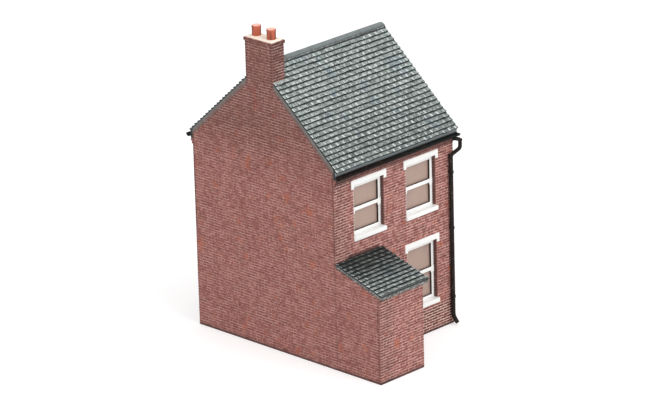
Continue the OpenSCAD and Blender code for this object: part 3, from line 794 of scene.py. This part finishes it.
def laySlates(mould, face, left, right, firstTail, reach, obstacle=None, bright=0.0, lastShade=0.6):
    # face has its u along the eaves and its v up the slope from the top edge; reach is the last line of tails;
    # obstacle is (u where the slates stop short, how far down the slope that goes on); bright is how much the
    # left end of each course is rubbed; lastShade is how dark the edge of the last tails is
    gauge, width = roof["gauge"], roof["width"]
    for row in range(math.ceil((reach - firstTail) / gauge - 0.01) + 1):
        tail = firstTail + row * gauge
        end = right
        if obstacle and tail <= obstacle[1] + 0.3:
            end = obstacle[0]
        marks = []
        at = left + (width / 2 if row % 2 else width)
        while at < end - 0.5:
            marks.append(at)
            at += width
        stray, ragged = roof["stray"], roof["ragged"]
        edges = [left] + [m + draw.uniform(-stray, stray) for m in marks] + [end]
        for start, stop in zip(edges, edges[1:]):
            slip, lift = draw.gauss(0, roof["slip"]), draw.gauss(0, roof["lift"])
            a, b = start + roof["gap"] / 2, stop - roof["gap"] / 2
            head = -(tail - gauge * roof["lap"]) if row else -(tail - gauge)
            low = -min(tail, reach) - slip
            wide = b - a
            nick = [draw.uniform(*roof["nick"]) for k in range(2)]
            outline = [Vector(p) for p in (
                (a, low + nick[0]), (a + nick[0], low), (a + wide * 0.35, low + draw.uniform(-ragged, ragged)),
                (a + wide * 0.7, low + draw.uniform(-ragged, ragged)), (b - nick[1], low), (b, low + nick[1]),
                (b, head), (a, head))]
            high = roof["thick"] + lift
            slant = draw.uniform(-ragged, ragged)
            across = [(p.x - a) / wide for p in outline]
            along = [(head - p.y) / (head - low) for p in outline]
            tops = [0.1 + (high - 0.1 + slant * u) * v for u, v in zip(across, along)]
            rubbed = max(draw.random() ** 0.8, bright if start == left else 0)
            shade = (0.2 if start == left else 0.6) if tail < reach else lastShade
            addSlab(mould, face, outline, -0.05, tops, 0.06, shade, tone=draw.random(), glint=rubbed,
                    across=across, along=along)


slopeLength = fascia / math.cos(pitch)
for wall, sign in longWalls.items():
    mould = Mould()
    slope = Face((0, 0, apex), (0, sign * math.sin(pitch), math.cos(pitch)))
    reach = slopeLength + roof["drip"]
    ends = sorted(slope.across.x * x for x in (partyVerge, side - roof["margin"]))
    stackEnd = (stackLow.x - 0.1, stackHigh.y / math.cos(pitch))
    obstacle = stackEnd if slope.across.x > 0 else None  # at a left end the slates run on into the stack
    laySlates(mould, slope, *ends, roof["firstTail"], reach, obstacle, lastShade=0.0)
    mould.cast(f"{wall}_slates", mainSlates, "slate")
    softened(f"{wall}_slope", f"{wall}_roof_slab", vergeFinish, 0.2)

mould = Mould()
slope = Face((0, front, leantoTop), (0, math.sin(leantoPitch), math.cos(leantoPitch)))
run = (leantoEave - front) / math.cos(leantoPitch)
low, high = box("outhouse_roof")
laySlates(mould, slope, -high.x - 0.1, -low.x, roof["leantoTail"], run + 0.1, bright=1.1)
mould.cast("leanto_slates", leantoSlates, "slate")
softened("outhouse_roof", "leanto_slab", leantoFinish, 0.2)


def layRidge():
    low, high = box("ridge_cap")
    radius, axisZ = roof["ridgeRadius"], high.z + roof["ridgeLift"] - roof["ridgeRadius"]
    mould, steps = Mould(), 28
    tiles = round((high.x - low.x) / roof["ridgeTile"])
    pace = (high.x - low.x) / tiles
    sweepStart, sweepEnd = roof["ridgeSweep"]
    for k in range(tiles):
        start, end = low.x + k * pace, low.x + (k + 1) * pace - roof["ridgeJoint"]
        tip = radius + draw.uniform(-0.02, 0.02)
        profile = [(start, tip - 0.3), (start, tip - 0.08), (start + 0.1, tip), (end - 0.1, tip),
                   (end, tip - 0.08), (end, tip - 0.3)]
        points = []
        for x, r in profile:
            for s in range(steps + 1):
                turn = math.radians(sweepStart + (sweepEnd - sweepStart) * s / steps)
                points.append(Vector((x, r * math.cos(turn), axisZ + r * math.sin(turn))))
        row = steps + 1
        faces = [[i * row + s, (i + 1) * row + s, (i + 1) * row + s + 1, i * row + s + 1]
                 for i in range(len(profile) - 1) for s in range(steps)]
        last = (len(profile) - 1) * row
        faces += [[last + s, s, s + 1, last + s + 1] for s in range(steps)]
        starts = [i * row for i in range(len(profile))]
        faces += [starts[::-1], [first + steps for first in starts]]
        mould.add(points, faces)
    mould.cast("ridge_tiles", ridgeFinish, "ridge", smooth=True)
    repaint("ridge_cap", ridgeFinish)


layRidge()
print("roofs: slated")


horn = {"inset": 0.1, "width": 1.5, "below": 1.7, "above": 0.7, "taper": 0.2, "taperHeight": 0.5, "proud": 0.2}


def addHorns(wall, window):  # the ends of the upper sash's stiles, which pass the meeting rail
    low, high = box(f"{wall}_{window}_sash")
    sign = longWalls[wall]
    face = Face((0, sign * max(abs(low.y), abs(high.y)), 0), (0, sign, 0))
    left, right, bottom, top = face.span(low, high)
    middle, mould = (bottom + top) / 2, Mould()
    foot, head = middle - horn["below"], middle + horn["above"]
    waist = foot + horn["taperHeight"]
    for start in (left + horn["inset"], right - horn["inset"] - horn["width"]):
        end = start + horn["width"]
        tip = [(start + horn["taper"], foot), (end - horn["taper"], foot)]
        outline = [Vector(p) for p in (*tip, (end, waist), (end, head), (start, head), (start, waist))]
        addSlab(mould, face, outline, -0.1, horn["proud"], 0.08)
    mould.cast(f"{wall}_{window}_horns", whiteGloss, "white_paint")


throughWall = Vector((0, 1, 0))
for wall in longWalls:
    softened(f"{wall}_lintels", f"{wall}_lintel_paint", whiteGloss, 0.12)
    softened(f"{wall}_sills", f"{wall}_sill_paint", whiteGloss, 0.15)
    for window in windows:
        softened(f"{wall}_{window}_sash", f"{wall}_{window}_frame", whiteGloss, 0.08,
                 throughWall, shadowBrown)
        addHorns(wall, window)
        repaint(f"{wall}_{window}_pane", paneFinish)
softened("outhouse_lintel", "outhouse_lintel_paint", whiteGloss, 0.12)
softened("door_frame", "front_door_frame", whiteGloss, 0.08)
softened("front_door", "front_door_leaf", greenGloss, 0.06)
softened("door_step", "front_step", stoneGrey, 0.2)
softened("flaunching", "flaunching_bed", mortarBed, 0.15)
for node, paint in (("fanlight", paneFinish), ("ground_floor", bareResin), ("outhouse_door", brownGloss),
                    ("yard_gutter", blackIron), ("street_gutter", blackIron)):
    repaint(node, paint)


boarding = {"boards": 5, "gap": 0.12, "relief": 0.15}


def boardDoor():  # upright boards on the outhouse door, over its plain leaf
    low, high = box("outhouse_door")
    face, mould = Face((low.x, 0, 0), (-1, 0, 0)), Mould()
    left, right, bottom, top = face.span(low, high)
    wide = (right - left) / boarding["boards"]
    for k in range(boarding["boards"]):
        start, end = left + k * wide + boarding["gap"] / 2, left + (k + 1) * wide - boarding["gap"] / 2
        addSlab(mould, face, oblong(start, end, bottom, top), -0.05, boarding["relief"], 0.06)
    mould.cast("outhouse_door_boards", brownGloss, "brown_paint")


boardDoor()


pipe = {
    "radius": 0.75, "neckRadius": 0.7, "gap": 0.3,
    "fromParty": 2.05,    # from the party face to the middle of the straight run
    "outlet": 1.7,        # from the party face to where the arm leaves the gutter
    "swing": 1.4,         # how far the neck stands beyond the party face
    "armDrop": 1.2, "neckDrop": 3.1, "neckHeight": 2.1, "shoeBend": 3.2, "kick": 1.9, "shoeEnd": 1.0,
    "armBend": 0.9, "footBend": 1.2, "bore": 0.5,
    "clips": (10.1, 35.9, 56.6), "clipHeight": 0.9, "ear": 1.6,
}


def collar(mould, at, bore, radius, height):
    turned(mould, at, [(bore, 0), (radius - 0.06, 0), (radius, 0.08), (radius, height - 0.08),
                       (radius - 0.06, height), (bore, height)], 24)


def layPipe(wall, sign):
    gutter = box(f"{wall}_gutter")
    gutterY, thick, thin = (gutter[0].y + gutter[1].y) / 2, pipe["radius"], pipe["neckRadius"]
    run = Vector((pipe["fromParty"] - side, sign * (front + pipe["gap"] + thick), 0))
    outlet = Vector((pipe["outlet"] - side, gutterY, gutter[0].z + 0.35 - thin))
    elbow = Vector((-side - pipe["swing"], gutterY, outlet.z - pipe["armDrop"]))
    neck = elbow - up * pipe["neckDrop"]
    head = run + up * (neck.z - pipe["neckHeight"])
    shoe = run + up * pipe["shoeBend"]
    mould = Mould()
    arm = rounded([outlet, elbow, neck, head, head - up * 2], pipe["armBend"], 8)
    tube(mould, arm, [thin] * len(arm))
    spout = shoe + Vector((0, sign * pipe["kick"], pipe["shoeEnd"] - shoe.z))
    down = rounded([head + up * 0.2, shoe, spout], pipe["footBend"], 8)
    tube(mould, down, [thick] * len(down), hollow=pipe["bore"])
    collar(mould, elbow - up * 0.55, thin - 0.1, thin + 0.12, 0.8)
    collar(mould, head - up * 0.5, thin - 0.1, thick + 0.1, 0.9)
    for z in pipe["clips"]:
        collar(mould, run + up * z, thick - 0.1, thick + 0.18, pipe["clipHeight"])
        for ear in (-1, 1):
            start = run + Vector((ear * thick * 0.8, 0, z + pipe["clipHeight"] / 2))
            tube(mould, [start, start + Vector((ear * (pipe["ear"] - thick * 0.8), 0, 0))], [0.34, 0.3], 12)
        back = run + up * (z + pipe["clipHeight"] / 2)
        tube(mould, [back, back - Vector((0, sign * (pipe["gap"] + thick), 0))], [0.5, 0.5], 12)
    piece = mould.cast(f"{wall}_rainwater_pipe", pipeIron, "black_paint", smooth=True)
    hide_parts(f"{wall}_downpipe")


for wall, sign in longWalls.items():
    layPipe(wall, sign)


pot = {
    "rim": (              # in from the widest radius, down from the top, and how pale
        (0.1, 0.8, 0), (0.03, 0.68, 0), (0, 0.58, 0), (0, 0.2, 0), (0.12, 0.05, 0.2), (0.25, 0, 1),
        (0.5, 0, 1), (0.62, 0.12, 1), (0.9, 0.26, 1),
    ),
    "bedded": 0.1, "dish": 0.3, "middle": 0.01,
}


def setPot(wall):
    low, high = box(f"{wall}_pot")
    mould, radius, height = Mould(), (high.x - low.x) / 2, high.z - low.z
    foot = Vector(((low.x + high.x) / 2, (low.y + high.y) / 2, low.z))
    profile = [(pot["middle"], -pot["bedded"]), (radius - pot["rim"][0][0], -pot["bedded"])]
    profile += [(radius - narrower, height - lower) for narrower, lower, pale in pot["rim"]]
    profile += [(pot["middle"], height - pot["dish"])]
    turned(mould, foot, profile, crown=[0, 0] + [pale for narrower, lower, pale in pot["rim"]] + [1])
    piece = mould.cast(f"{wall}_chimney_pot", firedClay, "terracotta", smooth=True)
    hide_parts(f"{wall}_pot")


for wall in longWalls:
    setPot(wall)
print("windows, doors, pipes and pots: set")


studio = {
    "aim": (14.42, 13.31, 52.89), "azimuth": 44.47, "elevation": 20.05, "distance": 1502.1, "roll": -1.6,
    "lens": 242.46, "sensor": 36,
    "floor": (226, 226, 226), "floorGlow": 0.42, "floorReach": 4.0, "sky": 0.68,
    "lamps": (                                    # name, azimuth, elevation, distance, size, level
        ("overhead", 70, 75, 0.9, 0.9, 0.2),
        ("yardSide", 95, 35, 1.0, 0.7, 0.38),
        ("gableSide", 5, 30, 1.0, 0.7, 0.14),
    ),
}


def bearing(azimuth, elevation):
    flat = math.cos(math.radians(elevation))
    return Vector((flat * math.cos(math.radians(azimuth)), flat * math.sin(math.radians(azimuth)),
                   math.sin(math.radians(elevation))))


def setCamera():
    camera = linked("camera", bpy.data.cameras.new("camera"))
    camera.data.lens, camera.data.sensor_width = studio["lens"], studio["sensor"]
    back = bearing(studio["azimuth"], studio["elevation"])
    right = (-back).cross(up).normalized()
    top = right.cross(-back)
    roll = math.radians(studio["roll"])
    tiltedRight = right * math.cos(roll) + top * math.sin(roll)
    tiltedTop = top * math.cos(roll) - right * math.sin(roll)
    turn = Matrix((tiltedRight, tiltedTop, back)).transposed().to_4x4()
    camera.matrix_world = Matrix.Translation((Vector(studio["aim"]) + back * studio["distance"]) * mm) @ turn
    bpy.context.scene.camera = camera


def setLamps():
    centre = (Vector(cadBounds[0]) + Vector(cadBounds[1])) / 2
    for name, azimuth, elevation, distance, size, level in studio["lamps"]:
        lamp = bpy.data.lights.new(name, "AREA")
        lamp.size, lamp.energy = size, level * math.pi ** 2 * distance ** 2
        lampObject = linked(name, lamp)
        lampObject.location = centre + bearing(azimuth, elevation) * distance
        lampObject.rotation_euler = (centre - lampObject.location).to_track_quat("-Z", "Y").to_euler()


def seen(tree):  # 1 for the camera, mirrors and glass
    path = tree.nodes.new("ShaderNodeLightPath")
    total = path.outputs["Is Camera Ray"]
    for other in ("Is Glossy Ray", "Is Transmission Ray"):
        adder = tree.nodes.new("ShaderNodeMath")
        adder.operation = "MAXIMUM"
        tree.links.new(total, adder.inputs[0])
        tree.links.new(path.outputs[other], adder.inputs[1])
        total = adder.outputs[0]
    return total


def setWorld():
    world = bpy.data.worlds.new("studio")
    bpy.context.scene.world = world
    world.use_nodes = True
    tree = world.node_tree
    background = tree.nodes["Background"]
    background.inputs["Color"].default_value = (1, 1, 1, 1)
    lift = tree.nodes.new("ShaderNodeMapRange")
    lift.inputs["To Min"].default_value = studio["sky"]
    lift.inputs["To Max"].default_value = 1.0
    tree.links.new(seen(tree), lift.inputs["Value"])
    tree.links.new(lift.outputs[0], background.inputs["Strength"])


def setFloor():
    mesh = bpy.data.meshes.new("floor")
    reach = studio["floorReach"]
    mesh.from_pydata([p.to_3d() for p in oblong(-reach, reach, -reach, reach)], [], [(0, 1, 2, 3)])
    floor = linked("floor", mesh)
    material = bpy.data.materials.new("floorPaper")
    material.use_nodes = True
    tree = material.node_tree
    shader = tree.nodes["Principled BSDF"]
    shader.inputs["Base Color"].default_value = tint(studio["floor"])
    shader.inputs["Roughness"].default_value = 0.9
    shader.inputs["Specular IOR Level"].default_value = 0.0
    shader.inputs["Emission Color"].default_value = (1, 1, 1, 1)
    glow = tree.nodes.new("ShaderNodeMath")
    glow.operation = "MULTIPLY"
    glow.inputs[1].default_value = studio["floorGlow"]
    tree.links.new(seen(tree), glow.inputs[0])
    tree.links.new(glow.outputs[0], shader.inputs["Emission Strength"])
    mesh.materials.append(material)


setCamera()
setLamps()
setWorld()
setFloor()
bpy.context.scene.view_settings.view_transform = "Standard"
print("studio: lit")
